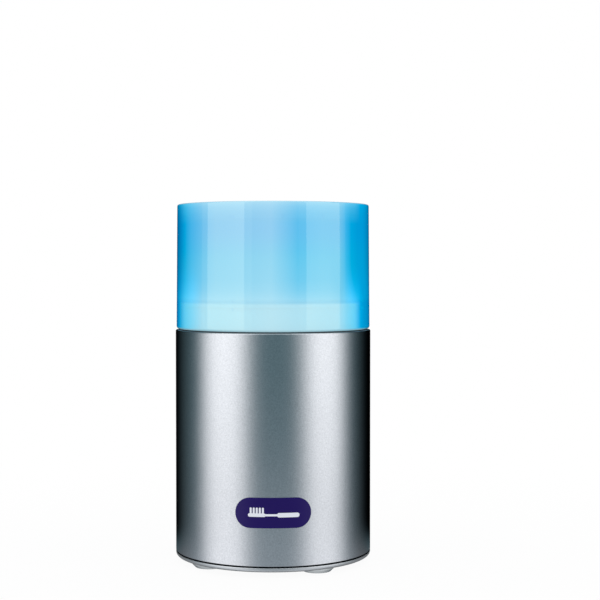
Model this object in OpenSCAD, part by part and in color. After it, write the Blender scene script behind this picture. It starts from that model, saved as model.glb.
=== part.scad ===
// Counter-top ultraviolet toothbrush sanitizer.
//
// A round aluminium sleeve stands on a plastic bottom cover with four soft feet. Inside it a white
// chassis forms a well with a screw-in germicidal bulb on its axis. Toothbrushes hang head down
// round the bulb, through four openings in a translucent blue cap and the guide plate clipped
// inside it. The cap turns on a glide ring and lifts off; the rinse cup then lifts out of the well.
//
// Units are millimetres. Z points up and the feet stand on z = 0. The sleeve's axis is the Z axis,
// the front of the unit faces -Y, and the power button and the supply socket are at the back, +Y.

/* [Body] */
// Outer diameter of the aluminium sleeve
body_d = 88; // [87:0.5:90]
// Height of the sleeve's top edge above the counter
body_top = 104; // [102:0.1:108]
// Sheet thickness of the sleeve
sleeve_t = 1; // [0.8:0.1:1.1]
// Height of the bottom cover's underside above the counter
foot_h = 2.3; // [2:0.1:3]

/* [Cap] */
// Height of the cap's rim above the counter
cap_top = 160.2; // [156:0.1:166]
// Gap between the sleeve's top edge and the cap's bottom edge
cap_gap = 0.5; // [0.4:0.1:1]
// Wall thickness of the cap
cap_t = 1.9; // [1.8:0.1:2.2]
// How far the deck with the brush openings lies below the rim
deck_drop = 5.2; // [4:0.1:8]

/* [Brush openings] */
// Number of toothbrushes
brush_count = 4; // [2:1:4]
// Distance from the axis to the centre of a brush opening
brush_r = 29.6; // [29.2:0.1:30]
// Diameter of a brush opening in the deck
brush_hole_d = 19; // [17:0.5:19.5]
// Turn of the first opening from the front of the unit, in degrees
brush_turn = 26; // [0:1:60]

/* [Controls] */
// Diameter of the power button
button_d = 12; // [10:0.5:12.5]
// Height of the button's and the socket's axes above the counter
control_z = 24; // [23:0.5:26]
// Travel of the power button
button_travel = 1.4; // [1:0.1:1.5]

/* [Hidden] */
$fn = 64;
front = -90;                       // polar angle of the front of the unit
eps = 0.05;                        // overshoot that keeps cut faces from coinciding
slack = 0.2;                       // ordinary clearance between moulded parts

// Sleeve
body_r = body_d / 2;
sleeve_in_r = body_r - sleeve_t;
sleeve_bottom = 5;
lip_w = 1.6;                       // inward width of the sleeve's turned-in lip
lip_h = 0.8;                       // thickness of that lip

// Bottom cover
cover_bottom = foot_h;
cover_top = 4.35;                  // top of the cover's visible edge
cover_edge_r = 1.7;                // radius of its lower edge
spigot_r = sleeve_in_r - 0.3;
spigot_t = 1.2;
spigot_top = 10;
foot_ring_r = 34;
foot_turn = 34;                    // turn of the first foot from the front
foot_top_r = 8;
foot_bottom_r = 6;
foot_recess = 0.8;

// Control board, its screws and the pillars they run into
board_z = 14;
board_t = 1.6;
board_top = board_z + board_t;
board_r = 38;
pillar_ring_r = 22;
pillar_turn = 45;
pillar_count = 4;
pillar_r = 3.8;
screw_r = 1.45;
screw_head_r = 2.8;
screw_head_h = 1.9;
screw_seat = 5.3;                  // height of the shoulder that a screw head bears on
screw_tip = 27;

// Chassis
floor_z = 38;
floor_top = 40;
well_r = 36.6;                     // inner radius of the well and the neck
well_wall = 2;
neck_r = 39.8;
neck_top = 114.5;
flange_r = sleeve_in_r - slack;
flange_top = body_top - lip_h;
flange_h = 2;

// Cap, guide plate and glide ring
cap_bottom = body_top + cap_gap;
cap_r = body_r - 0.4;              // outer radius just above the bottom edge
cap_top_r = body_r - 0.8;          // outer radius just below the rim
cap_edge_r = 1.2;
cap_in_r = cap_r - cap_t;
cap_in_top_r = cap_top_r - cap_t;
deck_top = cap_top - deck_drop;
deck_t = 2;
deck_rise = 1.2;                   // height of the deck's low central crown
lip_rise = 0.8;                    // height of the raised lip round an opening
lip_ring = 1.3;                    // width of that lip
brush_hole_r = brush_hole_d / 2;
plate_bottom = neck_top + slack;
plate_t = 2;
plate_top = plate_bottom + plate_t;
plate_r = cap_in_r - 0.6;
guide_ring_r = 28;                 // distance from the axis to the centre of a guide opening
guide_w = 12.5;                    // width of a guide opening, round the axis
guide_l = 17;                      // length of a guide opening, along the radius
hub_r = 7;
hub_bottom = 101.5;
magnet_r = 5;
magnet_h = 3.8;
clip_count = 4;
clip_angle = 12;
clip_h = 1.3;
clip_in_r = plate_r - 0.8;

// Rinse cup
cup_top = 112.5;
cup_r = well_r - 0.4;
cup_t = 1.2;
cup_collar_r = 15;                 // inner radius of the cup's central collar
cup_collar_top = 56;
cup_floor = 42;

// Bulb, socket and guard
socket_r = 11;
socket_bottom = 20;
socket_in_r = 8.8;
bulb_r = 9.5;
bulb_neck_r = 7.4;
bulb_base_r = 8.2;
bulb_base_top = 41;
bulb_top = 92;
glass_t = 1;
guard_r = 13;                      // distance from the axis to the guard's posts
guard_post_r = 1;
guard_count = 6;
crown_r = 14.4;
crown_z = 94;
crown_h = 4;
crown_cap_h = 1.2;
cable_r = 0.8;

// Power button and supply socket
button_r = button_d / 2;
bezel_r = button_r + 1.55;
bezel_front = body_r;
bezel_back = 40.9;
button_front = body_r - 0.2;
button_flange_y = 39.8;            // rear face of the button's retaining flange
button_flange_t = 1;
stem_r = 2;
stem_end = 32.6;
guide_wall_y = 34.6;
guide_wall_t = 1.6;
switch_back = 27.3;
switch_depth = 3.5;
switch_w = 6;
switch_board_t = 1.6;
jack_angle = 122;                  // polar angle of the supply socket
jack_front = 42.2;
jack_len = 14.4;
jack_w = 9;
jack_h = 11;
jack_z = 22.1;
jack_hole_r = 3.1;
jack_pin_r = 1;

// Colours
ALUMINIUM = [0.72, 0.74, 0.76];
COVER_GREY = [0.66, 0.68, 0.70];
CAP_BLUE = [0.36, 0.76, 0.95];
WHITE = [0.93, 0.94, 0.94];
FROSTED = [0.86, 0.92, 0.95];
RUBBER = [0.55, 0.57, 0.58];
DARK = [0.13, 0.14, 0.15];
STEEL = [0.78, 0.78, 0.80];
BRASS = [0.78, 0.62, 0.30];
COPPER = [0.80, 0.48, 0.25];
BOARD_GREEN = [0.10, 0.38, 0.22];
CERAMIC = [0.92, 0.90, 0.84];
QUARTZ = [0.80, 0.86, 0.95];

// ---------- Shared shapes ----------

// Points on an arc round c, from angle a0 to a1.
function arc(c, r, a0, a1, steps = 6) =
    [for (i = [0:steps]) let (a = a0 + (a1 - a0) * i / steps) [c[0] + r * cos(a), c[1] + r * sin(a)]];

module polar(r, a, z = 0) {
    rotate([0, 0, a]) translate([r, 0, z]) children();
}

module around(count, r, first, z = 0) {
    for (i = [0:count - 1]) polar(r, first + i * 360 / count, z) children();
}

module tube(outer, inner, z0, z1) {
    translate([0, 0, z0]) difference() {
        cylinder(r = outer, h = z1 - z0);
        translate([0, 0, -eps]) cylinder(r = inner, h = z1 - z0 + 2 * eps);
    }
}

// Turns a shape drawn along +Z so that its +Z points along +Y, the unit's back.
module facing_back(y, z) {
    translate([0, y, z]) rotate([-90, 0, 0]) children();
}

module block(size, z) {
    translate([-size[0] / 2, -size[1] / 2, z]) cube(size);
}

module straight(a, b, r) {
    v = b - a;
    translate(a) rotate([0, acos(v[2] / norm(v)), atan2(v[1], v[0])]) cylinder(r = r, h = norm(v), $fn = 24);
}

// Round wire through a list of points, with a small bead at each bend.
module wire(path, r) {
    for (i = [0:len(path) - 2]) straight(path[i], path[i + 1], r);
    for (i = [1:len(path) - 2]) translate(path[i]) sphere(r = r * 1.06, $fn = 24);
}

// Coil spring along +Z.
module coil(r, wire_r, length, turns, steps = 18, sides = 8) {
    rings = turns * steps;
    rise = length - 2 * wire_r;
    points = [
        for (i = [0:rings]) let (a = 360 * i / steps)
        for (k = [0:sides - 1]) let (b = 360 * k / sides, q = r + wire_r * cos(b))
        [q * cos(a), q * sin(a), wire_r + rise * i / rings + wire_r * sin(b)]
    ];
    skin = [
        for (i = [0:rings - 1]) for (k = [0:sides - 1])
        let (p = i * sides + k, q = i * sides + (k + 1) % sides)
        for (f = [[p, q, p + sides], [q, q + sides, p + sides]]) f
    ];
    first = [for (k = [0:sides - 1]) sides - 1 - k];
    last = [for (k = [0:sides - 1]) rings * sides + k];
    polyhedron(points, concat(skin, [first], [last]));
}

// ---------- Casing ----------

module outer_sleeve() {
    corner = 0.8;
    foot = 0.3;
    profile = concat(
        [[sleeve_in_r, sleeve_bottom], [body_r - foot, sleeve_bottom], [body_r, sleeve_bottom + foot]],
        arc([body_r - corner, body_top - corner], corner, 0, 90),
        [[body_r - lip_w, body_top], [body_r - lip_w, body_top - lip_h], [sleeve_in_r, body_top - lip_h]]
    );
    color(ALUMINIUM) difference() {
        rotate_extrude($fn = 128) polygon(profile);
        facing_back(body_r - 8, control_z) cylinder(r = bezel_r + 0.1, h = 12);
        rotate([0, 0, jack_angle]) translate([body_r - 6, 0, jack_z]) rotate([0, 90, 0])
            cylinder(r = jack_hole_r + 0.5, h = 10);
    }
}

module bottom_cover() {
    vent_count = 12;
    profile = concat(
        [[0, cover_bottom]],
        arc([body_r - cover_edge_r, cover_bottom + cover_edge_r], cover_edge_r, -90, 0),
        [
            [body_r, cover_top], [spigot_r, cover_top], [spigot_r, spigot_top],
            [spigot_r - spigot_t, spigot_top], [spigot_r - spigot_t, cover_top], [0, cover_top]
        ]
    );
    color(COVER_GREY) difference() {
        union() {
            rotate_extrude($fn = 128) polygon(profile);
            around(pillar_count, pillar_ring_r, pillar_turn, cover_top - 1)
                cylinder(r = pillar_r + 0.6, h = board_z - cover_top + 1);
        }
        around(4, foot_ring_r, front + foot_turn, cover_bottom - 1)
            cylinder(r = foot_top_r + slack, h = 1 + foot_recess);
        around(pillar_count, pillar_ring_r, pillar_turn, cover_bottom - 1) {
            cylinder(r = screw_head_r + 0.5, h = 1 + screw_seat - cover_bottom);
            cylinder(r = screw_r + 0.25, h = board_z);
        }
        around(vent_count, 7, 0, cover_bottom - 1)
            translate([0, -0.9, 0]) cube([8, 1.8, 6]);
    }
}

module rubber_feet() {
    step = cover_bottom + foot_recess;
    profile = concat(
        [[0, 0]],
        arc([foot_bottom_r - 0.8, 0.8], 0.8, -90, -20, 4),
        [[foot_top_r, cover_bottom], [foot_top_r, step], [0, step]]
    );
    color(RUBBER) around(4, foot_ring_r, front + foot_turn) rotate_extrude() polygon(profile);
}

module cover_screws() {
    head_z = screw_seat - screw_head_h;
    color(STEEL) around(pillar_count, pillar_ring_r, pillar_turn) {
        difference() {
            translate([0, 0, head_z]) cylinder(r = screw_head_r, h = screw_head_h);
            for (a = [0, 90]) rotate([0, 0, a]) block([3.6, 0.7, 1.2], head_z - 0.1);
        }
        translate([0, 0, screw_seat - 0.1]) cylinder(r = screw_r, h = screw_tip - screw_seat + 0.1);
    }
}

// ---------- Chassis ----------

module well() {
    edge = 0.6;
    profile = concat(
        [
            [socket_r + 0.3, floor_z], [well_r + well_wall, floor_z],
            [well_r + well_wall, flange_top - flange_h], [flange_r, flange_top - flange_h],
            [flange_r, flange_top], [neck_r, flange_top]
        ],
        arc([neck_r - edge, neck_top - edge], edge, 0, 90, 4),
        [[well_r, neck_top], [well_r, floor_top], [socket_r + 0.3, floor_top]]
    );
    rotate_extrude($fn = 128) polygon(profile);
}

// Rib, rails and guide hole that carry the power button and its switch board.
module button_mount() {
    rail_in = 6.4;
    rail_out = 8.8;
    low = board_top + 0.9;
    board_y = switch_back - switch_board_t;
    difference() {
        union() {
            translate([-rail_out, guide_wall_y, low]) cube([2 * rail_out, guide_wall_t, floor_z + 1 - low]);
            for (s = [-1, 1]) translate([s > 0 ? rail_in : -rail_out, board_y - 1.6, low])
                cube([rail_out - rail_in, guide_wall_y - board_y + 2, floor_z + 1 - low]);
        }
        facing_back(guide_wall_y - 1, control_z) cylinder(r = stem_r + 0.15, h = guide_wall_t + 2);
        translate([-7.1, board_y - 0.1, low - 1]) cube([14.2, switch_board_t + 0.2, floor_z - low]);
    }
}

module chassis() {
    rib_count = 10;
    rib_low = 42;
    color(WHITE) difference() {
        union() {
            well();
            around(pillar_count, pillar_ring_r, pillar_turn, board_top)
                cylinder(r = pillar_r, h = floor_z - board_top + 1);
            around(rib_count, 0, 0)
                translate([well_r + well_wall - 1, -0.8, rib_low])
                cube([flange_r - well_r - well_wall + 0.9, 1.6, flange_top - flange_h - rib_low + 0.5]);
            button_mount();
        }
        around(pillar_count, pillar_ring_r, pillar_turn, board_top - 1)
            cylinder(r = screw_r + 0.1, h = 1 + screw_tip + 1 - board_top);
        polar(guard_r, 180, floor_z - 1) cylinder(r = cable_r + 0.2, h = 4, $fn = 24);
    }
}

// ---------- Cap and what turns and lifts with it ----------

module glide_ring() {
    color(DARK) tube(body_r - lip_w - 0.1, neck_r + 0.15, flange_top, cap_bottom);
}

// Wall and deck of the cap in one turned outline.
module cap_outline() {
    rim_r = 0.65;                  // the rim is rounded on both edges
    fillet = 3;                    // inside, where the wall meets the deck
    deck_bottom = deck_top - deck_t;
    polygon(concat(
        [[cap_in_r, cap_bottom]],
        arc([cap_r - cap_edge_r, cap_bottom + cap_edge_r], cap_edge_r, -90, 0),
        arc([cap_top_r - rim_r, cap_top - rim_r], rim_r, 0, 90, 4),
        arc([cap_in_top_r + rim_r, cap_top - rim_r], rim_r, 90, 180, 4),
        arc([cap_in_top_r - fillet, deck_top + fillet], fillet, 0, -90, 5),
        [for (i = [0:5]) let (r = 16 * (1 - i / 5)) [r, deck_top + deck_rise * (1 + cos(180 * r / 16)) / 2]],
        [[0, deck_bottom], [cap_in_top_r - 1.5, deck_bottom], [cap_in_top_r - 0.3, deck_bottom - 1.2]]
    ));
}

module cap_shell() {
    lip_top = deck_top + lip_rise;
    color(CAP_BLUE) difference() {
        union() {
            rotate_extrude($fn = 128) cap_outline();
            around(brush_count, brush_r, front + brush_turn, deck_top - 0.5)
                cylinder(r = brush_hole_r + lip_ring, h = lip_rise + 0.5);
            for (z = [plate_bottom - clip_h - eps, plate_top + eps])
                around(clip_count, 0, front + brush_turn + 45) rotate([0, 0, -clip_angle / 2])
                    translate([0, 0, z]) rotate_extrude(angle = clip_angle, $fn = 128)
                    translate([clip_in_r, 0]) square([cap_in_r - clip_in_r + 0.5, clip_h]);
        }
        around(brush_count, brush_r, front + brush_turn, deck_top - deck_t - 3)
            cylinder(r = brush_hole_r, h = deck_t + lip_rise + 6);
    }
}

// Rounded slot that a brush head passes through, long side along the radius.
module guide_opening() {
    half = (guide_l - guide_w) / 2;
    for (s = [-1, 1]) translate([s * half, 0, -1]) cylinder(r = guide_w / 2, h = plate_t + 2);
    translate([-half, -guide_w / 2, -1]) cube([2 * half, guide_w, plate_t + 2]);
}

module brush_plate() {
    drain_count = 4;
    color(WHITE) difference() {
        union() {
            translate([0, 0, plate_bottom]) cylinder(r = plate_r, h = plate_t, $fn = 128);
            translate([0, 0, hub_bottom]) cylinder(r = hub_r, h = plate_bottom - hub_bottom + 1);
        }
        around(brush_count, guide_ring_r, front + brush_turn, plate_bottom) guide_opening();
        around(drain_count, brush_r, front + brush_turn + 45, plate_bottom - 1)
            cylinder(r = 1.8, h = plate_t + 2);
        translate([0, 0, hub_bottom - 1]) cylinder(r = magnet_r + 0.05, h = 1 + magnet_h);
    }
}

module interlock_magnet() {
    color(STEEL) translate([0, 0, hub_bottom + 0.1]) cylinder(r = magnet_r, h = magnet_h - 0.1);
}

// ---------- Rinse cup ----------

module rinse_cup() {
    foot_ring = [29, 33];
    bead = 0.6;
    corner = 3;
    profile = concat(
        [[cup_collar_r, cup_floor], [foot_ring[0], cup_floor], [foot_ring[0], floor_top]],
        [[foot_ring[1], floor_top], [foot_ring[1], cup_floor]],
        arc([cup_r - 0.5 - corner, cup_floor + corner], corner, -90, 0, 5),
        arc([cup_r - bead, cup_top - bead], bead, 0, 180, 6),
        arc([cup_r - 0.5 - corner, cup_floor + corner], corner - cup_t, 0, -90, 5),
        [
            [cup_collar_r + cup_t, cup_floor + cup_t], [cup_collar_r + cup_t, cup_collar_top],
            [cup_collar_r, cup_collar_top]
        ]
    );
    color(FROSTED) rotate_extrude($fn = 128) polygon(profile);
}

// ---------- Bulb, its socket and its guard ----------

module lamp_guard() {
    ring_h = 2.5;
    post_h = crown_z - floor_top - ring_h + 1;
    color(WHITE) difference() {
        union() {
            tube(crown_r, socket_r + 0.6, floor_top, floor_top + ring_h);
            around(guard_count, guard_r, 0, floor_top + ring_h - 0.5)
                cylinder(r = guard_post_r, h = post_h, $fn = 24);
            polar(guard_r, 180, floor_top + ring_h - 0.5)
                cylinder(r = guard_post_r + 0.6, h = post_h, $fn = 32);
            translate([0, 0, crown_z]) cylinder(r = crown_r, h = crown_h);
        }
        polar(guard_r, 180, floor_top - 1)
            cylinder(r = cable_r + 0.15, h = crown_z + crown_h - floor_top + 3, $fn = 24);
        translate([-crown_r + 1.2, -1.6, crown_z + 1.4]) cube([crown_r + 7, 3.2, crown_h]);
    }
}

module guard_crown_cap() {
    edge = 0.5;
    bottom = crown_z + crown_h;
    color(WHITE) rotate_extrude() polygon(concat(
        [[0, bottom], [crown_r, bottom]],
        arc([crown_r - edge, bottom + crown_cap_h - edge], edge, 0, 90, 3),
        [[0, bottom + crown_cap_h]]
    ));
}

module reed_switch() {
    glass_r = 1.1;
    glass_l = 12;
    lead_l = 15;
    color(QUARTZ) translate([-1.5, 0, crown_z + 2.7]) rotate([0, 90, 0]) {
        translate([0, 0, -glass_l / 2]) cylinder(r = glass_r, h = glass_l, $fn = 32);
        translate([0, 0, -lead_l / 2]) cylinder(r = 0.3, h = lead_l, $fn = 24);
    }
}

module sensor_cable() {
    plug_x = -19.5;
    color(DARK) wire([
        [-guard_r, 0, crown_z + 2.4], [-guard_r, 0, 24], [plug_x, 0, 24], [plug_x, 0, board_top + 6.2]
    ], cable_r);
}

// Outline of the bulb's glass at a given inset from its outer surface.
function bulb_side(inset) = concat(
    [[bulb_neck_r - inset, 38], [bulb_neck_r - inset, 42]],
    [[bulb_r - inset, 46]],
    arc([0, bulb_top - bulb_r], bulb_r - inset, 0, 90, 12)
);

module bulb_glass() {
    outer = bulb_side(0);
    inner = bulb_side(glass_t);
    reversed = [for (i = [len(inner) - 1:-1:0]) inner[i]];
    color(QUARTZ) rotate_extrude() polygon(concat(outer, reversed));
}

module bulb_filament() {
    stem_top = 50;
    post_top = 62;
    post_x = 3.4;
    color(STEEL) {
        translate([0, 0, 38]) cylinder(r1 = 4.2, r2 = 3.9, h = stem_top - 38);
        for (s = [-1, 1]) translate([s * post_x, 0, stem_top - 1]) cylinder(r = 0.4, h = post_top - stem_top + 1);
        translate([-post_x, 0, post_top - 0.4]) rotate([0, 90, 0]) cylinder(r = 0.7, h = 2 * post_x);
    }
}

// Metal screw shell with rounded thread ridges, a glass insulator and the tip contact.
module bulb_base() {
    ridges = 4;
    pitch = 2.6;
    low = 26.4;
    color(BRASS) difference() {
        union() {
            translate([0, 0, low]) cylinder(r = bulb_base_r - 0.5, h = bulb_base_top - low);
            for (i = [0:ridges - 1]) translate([0, 0, low + 1 + i * pitch]) {
                cylinder(r1 = bulb_base_r - 0.6, r2 = bulb_base_r, h = pitch / 2);
                translate([0, 0, pitch / 2]) cylinder(r1 = bulb_base_r, r2 = bulb_base_r - 0.6, h = pitch / 2);
            }
            translate([0, 0, 25.4]) cylinder(r1 = 3, r2 = bulb_base_r - 1.2, h = 1.1);
        }
        translate([0, 0, 37.9]) cylinder(r = bulb_neck_r + 0.05, h = 10);
    }
}

module lamp_socket() {
    ear = 4;
    difference() {
        color(CERAMIC) union() {
            translate([0, 0, socket_bottom]) cylinder(r = socket_r, h = floor_top + 1 - socket_bottom);
            translate([0, 0, floor_z - 2.6]) cylinder(r = socket_r + 2.4, h = 2.5);
            for (a = [0, 180]) polar(socket_r + 4, a + 90, floor_z - 2.6) cylinder(r = ear, h = 2.5);
        }
        translate([0, 0, 24]) cylinder(r = socket_in_r, h = 30);
        translate([0, 0, socket_bottom - 1]) cylinder(r = 2.6, h = 10);
        polar(guard_r, 180, floor_z - 4) cylinder(r = cable_r + 0.8, h = 6, $fn = 24);
        for (a = [90, 270]) polar(socket_r + 4, a, floor_z - 4) cylinder(r = 1.3, h = 6, $fn = 32);
    }
}

module socket_contact() {
    color(COPPER) translate([0, 0, 21]) cylinder(r = 2.4, h = 4.3);
}

module socket_screws() {
    color(STEEL) for (a = [90, 270]) polar(socket_r + 4, a, floor_z - 4.2) {
        cylinder(r = 2.3, h = 1.6, $fn = 32);
        cylinder(r = 1.1, h = 4.1, $fn = 32);
    }
}

module lamp_wires() {
    plug_y = 18;
    color("firebrick") for (s = [-1, 1]) wire([
        [s * 1.6, plug_y, board_top + 6.2], [s * 1.6, plug_y, 29], [s * 1.6, socket_r + 0.2, 29]
    ], 0.7);
}

// ---------- Electronics ----------

module control_board() {
    color(BOARD_GREEN) difference() {
        translate([0, 0, board_z]) cylinder(r = board_r, h = board_t, $fn = 128);
        around(pillar_count, pillar_ring_r, pillar_turn, board_z - 1)
            cylinder(r = screw_r + 0.3, h = board_t + 2, $fn = 32);
    }
}

module on_board(r, a) {
    polar(r, a, board_top) children();
}

module ballast_core() {
    color(DARK) on_board(27, front) difference() {
        block([16, 18, 13], 0);
        for (s = [-1, 1]) translate([0, s * 5.2, -1]) block([20, 3.6, 9.5], 2.5);
    }
}

module ballast_winding() {
    color(COPPER) on_board(27, front) for (s = [-1, 1])
        translate([0, s * 5.2, 0]) block([13, 3.4, 9.2], 1.6);
}

module capacitors() {
    for (c = [[28, -20, 5, 14], [28, 6, 5, 14], [29, 30, 4, 11]])
        color("midnightblue") on_board(c[0], c[1]) cylinder(r = c[2], h = c[3]);
}

module film_capacitor() {
    color("goldenrod") on_board(32, -48) block([6, 13, 9], 0);
}

module timer_chip() {
    color(DARK) on_board(29, 188) block([6.4, 9.8, 3.4], 0.4);
    color(STEEL) for (s = [-1, 1], i = [0:3])
        on_board(29, 188) translate([s * 3.6, (i - 1.5) * 2.54, 0]) block([1.1, 0.8, 1.6], 0);
}

module driver_transistor() {
    color(DARK) on_board(30, 225) block([4.5, 10, 9], 3);
    color(STEEL) on_board(30, 225) translate([2.8, 0, 0]) difference() {
        block([1.2, 10, 15], 3);
        translate([-2, 0, 15.2]) rotate([0, 90, 0]) cylinder(r = 1.8, h = 4, $fn = 32);
    }
    color(STEEL) for (i = [-1:1]) on_board(30, 225) translate([0, i * 2.54, 0]) block([0.8, 0.9, 3.2], 0);
}

module fuse() {
    color(QUARTZ) on_board(31, 160) translate([0, -6, 3]) rotate([-90, 0, 0]) cylinder(r = 2.4, h = 12);
    color(STEEL) for (y = [-7.1, 6.1]) on_board(31, 160) block([5.6, 1, 5.8], 0);
}

module board_connectors() {
    color(WHITE) for (place = [[18, 90], [19.5, 180]]) on_board(place[0], place[1]) block([5, 7.6, 6], 0);
}

// ---------- Supply socket and power button ----------

module at_jack() {
    rotate([0, 0, jack_angle]) translate([jack_front, 0, jack_z]) children();
}

module dc_jack() {
    depth = 9.5;
    color(DARK) at_jack() difference() {
        translate([-jack_len, -jack_w / 2, board_top - jack_z]) cube([jack_len, jack_w, jack_h]);
        translate([-depth, 0, 0]) rotate([0, 90, 0]) cylinder(r = jack_hole_r, h = depth + 1);
    }
}

module jack_pin() {
    pin_l = 9;
    color(STEEL) at_jack() translate([-9.45, 0, 0]) rotate([0, 90, 0]) cylinder(r = jack_pin_r, h = pin_l, $fn = 32);
}

module button_bezel() {
    back_flange_r = bezel_r + 1.4;
    color(COVER_GREY) facing_back(0, control_z) {
        tube(bezel_r, button_r + 0.15, bezel_back, bezel_front);
        tube(back_flange_r, bezel_r - 0.5, bezel_back, bezel_back + 1.1);
    }
}

module power_button() {
    edge = 0.6;
    dish = 0.5;
    profile = concat(
        [
            [0, stem_end], [stem_r, stem_end], [stem_r, button_flange_y],
            [button_r + 1, button_flange_y], [button_r + 1, button_flange_y + button_flange_t],
            [button_r, button_flange_y + button_flange_t]
        ],
        arc([button_r - edge, button_front - edge], edge, 0, 90, 4),
        [for (i = [0:5]) let (r = (button_r - 1.4) * (1 - i / 5))
            [r, button_front - dish * (1 - pow(r / (button_r - 1.4), 2))]]
    );
    color(COVER_GREY) facing_back(0, control_z) rotate_extrude() polygon(profile);
}

module button_spring() {
    low = guide_wall_y + guide_wall_t;
    color(STEEL) facing_back(low + 0.02, control_z)
        coil(3.1, 0.22, button_flange_y - low - 0.04, 3);
}

module tact_switch() {
    color(DARK) facing_back(switch_back, control_z) difference() {
        block([switch_w, switch_w, switch_depth], 0);
        translate([0, 0, 1]) cylinder(r = 1.85, h = switch_depth);
    }
}

module switch_plunger() {
    rest_tip = switch_back + 1 + button_travel + 0.2;
    color("firebrick") facing_back(rest_tip, control_z) cylinder(r = 1.75, h = stem_end - rest_tip);
}

module switch_board() {
    color(BOARD_GREEN) translate([-6.9, switch_back - switch_board_t, board_top + 0.9])
        cube([13.8, switch_board_t, floor_z - 1.2 - board_top - 0.9]);
}

module switch_leads() {
    back = switch_back - switch_board_t;
    color("firebrick") for (s = [-1, 1])
        wire([[s * 3, back, 19], [s * 3, back - 2, 19], [s * 3, back - 2, board_top]], 0.45);
}

// ---------- What is drawn ----------

outer_sleeve();
bottom_cover();
rubber_feet();
cover_screws();
chassis();
glide_ring();
cap_shell();
brush_plate();
interlock_magnet();
rinse_cup();
lamp_guard();
guard_crown_cap();
reed_switch();
sensor_cable();
bulb_glass();
bulb_filament();
bulb_base();
lamp_socket();
socket_contact();
socket_screws();
lamp_wires();
control_board();
ballast_core();
ballast_winding();
capacitors();
film_capacitor();
timer_chip();
driver_transistor();
fuse();
board_connectors();
dc_jack();
jack_pin();
button_bezel();
power_button();
button_spring();
tact_switch();
switch_plunger();
switch_board();
switch_leads();
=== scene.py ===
"""Looks of a counter-top toothbrush sanitizer: finishes, finely meshed shells, studio and camera."""
import math

import bmesh
import bpy
from mathutils import Matrix, Vector
from mathutils.geometry import delaunay_2d_cdt


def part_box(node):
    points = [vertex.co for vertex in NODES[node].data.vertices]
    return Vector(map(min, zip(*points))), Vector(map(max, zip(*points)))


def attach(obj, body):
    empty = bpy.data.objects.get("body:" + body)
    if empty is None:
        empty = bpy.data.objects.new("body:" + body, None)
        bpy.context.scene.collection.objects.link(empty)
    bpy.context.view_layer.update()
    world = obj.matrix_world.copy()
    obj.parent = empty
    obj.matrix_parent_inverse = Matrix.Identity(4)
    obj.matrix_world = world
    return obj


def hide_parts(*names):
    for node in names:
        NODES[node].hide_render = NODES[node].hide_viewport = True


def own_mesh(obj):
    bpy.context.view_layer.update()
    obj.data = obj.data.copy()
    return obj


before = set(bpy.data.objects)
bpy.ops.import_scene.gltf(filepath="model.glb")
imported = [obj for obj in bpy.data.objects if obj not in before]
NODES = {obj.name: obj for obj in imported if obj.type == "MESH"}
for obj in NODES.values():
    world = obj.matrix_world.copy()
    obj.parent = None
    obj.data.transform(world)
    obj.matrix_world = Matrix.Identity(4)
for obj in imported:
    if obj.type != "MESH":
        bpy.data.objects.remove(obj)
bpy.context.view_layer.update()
MM = 0.001

# ---------- Sizes, in millimetres ----------

def height_of(node, end):
    """Lowest (0) or highest (1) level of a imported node."""
    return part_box(node)[end].z / MM


BODY_R = 44.0
SLEEVE_T = 1.0
SLEEVE_BOTTOM = height_of("outer_sleeve", 0)
SLEEVE_TOP = height_of("outer_sleeve", 1)
LIP_W = 1.6                       # width of the sleeve's turned-in lip
LIP_H = 0.8

CONTROL_Z = 24.0                  # height of the power button's axis
BEZEL_R = 7.55
BUTTON_R = 6.0
JACK_TURN = 122                   # polar angle of the supply socket
JACK_Z = 22.1
JACK_HOLE_R = 3.6

COVER_BOTTOM = height_of("bottom_cover", 0)
COVER_TOP = 4.35                  # a seam is left between it and the sleeve, darkened by painted shade on the cover above this level
COVER_BOSS_TOP = height_of("bottom_cover", 1)
SPIGOT_TOP = 10.0
FOOT_R = 8.0
FOOT_TOP = COVER_BOTTOM + 0.8     # the feet sit in shallow recesses
FOOT_RING_R = 34.0
FOOT_TURN = -56                   # polar angle of the first foot
SCREW_RING_R = 22.0

CAP_BOTTOM = height_of("cap_shell", 0)
CAP_TOP = height_of("cap_shell", 1)
CAP_R = 43.6                      # outer radius just above the bottom edge
CAP_TOP_R = 43.2                  # outer radius just below the rim
CAP_EDGE_R = 1.2                  # rounding of the bottom edge
CAP_IN_R = 41.7                   # inner radii at the same two places
CAP_IN_TOP_R = 41.3
DECK_TOP = CAP_TOP - 5.2
DECK_T = 2.0
DECK_FILLET = 3.0
OPENING_R = 9.5
OPENING_SEGMENTS = 72
OPENING_RING_R = 29.6
OPENING_TURNS = (-64, 26, 116, 206)
PLATE_BOTTOM = 114.7              # underside of its disc; a hub reaches lower
PLATE_TOP = height_of("brush_plate", 1)
CLIP_H = 1.3                      # the clips that hold it, and their play
CLIP_GAP = 0.05
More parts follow.
